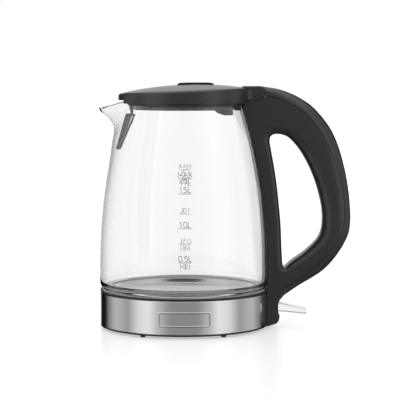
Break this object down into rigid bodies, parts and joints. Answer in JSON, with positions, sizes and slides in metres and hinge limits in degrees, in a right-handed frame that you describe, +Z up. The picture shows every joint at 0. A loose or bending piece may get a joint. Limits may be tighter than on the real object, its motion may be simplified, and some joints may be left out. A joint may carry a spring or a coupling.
{
  "type": "electric kettle",
  "caption": "Cordless electric kettle: glass jug with spout and filter, steel base band, loop handle, hinged lid with push button, clear switch paddle.",
  "frame": {"origin": "middle of the footprint box, on the surface that the rubber feet stand on; the jug's axis is at X = -37.3 mm", "axes": "+X from the spout towards the handle, +Z up, +Y to the left of someone who looks along +X"},
  "size_m": [0.2331, 0.1568, 0.2268],
  "materials": {
    "glass": "clear polished glass",
    "brushed_steel": "satin stainless, brushed round the base",
    "plate_steel": "stamped stainless, lightly spun",
    "aluminium": "cast",
    "black_plastic": "satin moulded",
    "gloss_plastic": "glossy moulded",
    "housing_nylon": "glass-filled nylon",
    "brass": "turned",
    "small_steel": "zinc-plated or spring steel",
    "filter_mesh": "woven stainless mesh",
    "clear_acrylic": "clear moulded acrylic",
    "rubber": "matt",
    "silicone": "translucent"
  },
  "bodies": {
    "root": {"glass_jug": "glass", "steel_band": "brushed_steel", "hotplate": "plate_steel", "heat_spreader": "aluminium", "heating_element": "aluminium", "base_ring": "black_plastic", "base_cover": "black_plastic", "handle_body": "black_plastic", "handle_cover": "black_plastic", "rim_bracket": "black_plastic", "filter_frame": "black_plastic", "control_housing": "housing_nylon", "switch_housing": "housing_nylon", "connector_pin": "brass", "connector_ring": "brass", "base_screw_1": "small_steel", "base_screw_2": "small_steel", "base_screw_3": "small_steel", "bracket_screw_1": "small_steel", "bracket_screw_2": "small_steel", "foot_screw_1": "small_steel", "foot_screw_2": "small_steel", "hinge_pin": "small_steel", "hinge_spring": "small_steel", "toggle_spring": "small_steel", "steam_disc": "small_steel", "snap_disc_1": "small_steel", "snap_disc_2": "small_steel", "filter_mesh_1": "filter_mesh", "filter_mesh_2": "filter_mesh", "indicator_led": "clear_acrylic", "rubber_foot_1": "rubber", "rubber_foot_2": "rubber", "rubber_foot_3": "rubber", "rubber_foot_4": "rubber", "hotplate_seal": "silicone", "steam_tube": "silicone", "lead_wire_1": "silicone", "lead_wire_2": "silicone"},
    "lid": {"lid_cap": "black_plastic", "lid_inner": "gloss_plastic", "lid_screw_1": "small_steel", "lid_screw_2": "small_steel", "button_spring": "small_steel"},
    "button": {"lid_button": "gloss_plastic"},
    "latch": {"lid_latch": "black_plastic"},
    "switch": {"switch_lever": "clear_acrylic", "switch_rocker": "black_plastic"}
  },
  "joints": [
    {"name": "lid_hinge", "type": "hinge", "parent": "root", "child": "lid", "pos_m": [0.0296, 0, 0.2177], "axis": [0, 1, 0], "range_deg": [0, 70]},
    {"name": "button_press", "type": "slide", "parent": "lid", "child": "button", "axis": [0, 0, -1], "range_m": [0, 0.0025], "stiffness_N_per_m": 300, "springref_m": -0.002, "deforming": ["button_spring"]},
    {"name": "latch_slide", "type": "slide", "parent": "lid", "child": "latch", "axis": [-1, 0, 0], "range_m": [0, 0.0025]},
    {"name": "switch_press", "type": "hinge", "parent": "root", "child": "switch", "pos_m": [0.0432, 0, 0.0192], "axis": [0, 1, 0], "range_deg": [0, 12]}
  ],
  "couplings": [
    {"joint": "latch_slide", "follows": "button_press", "ratio": 1}
  ]
}
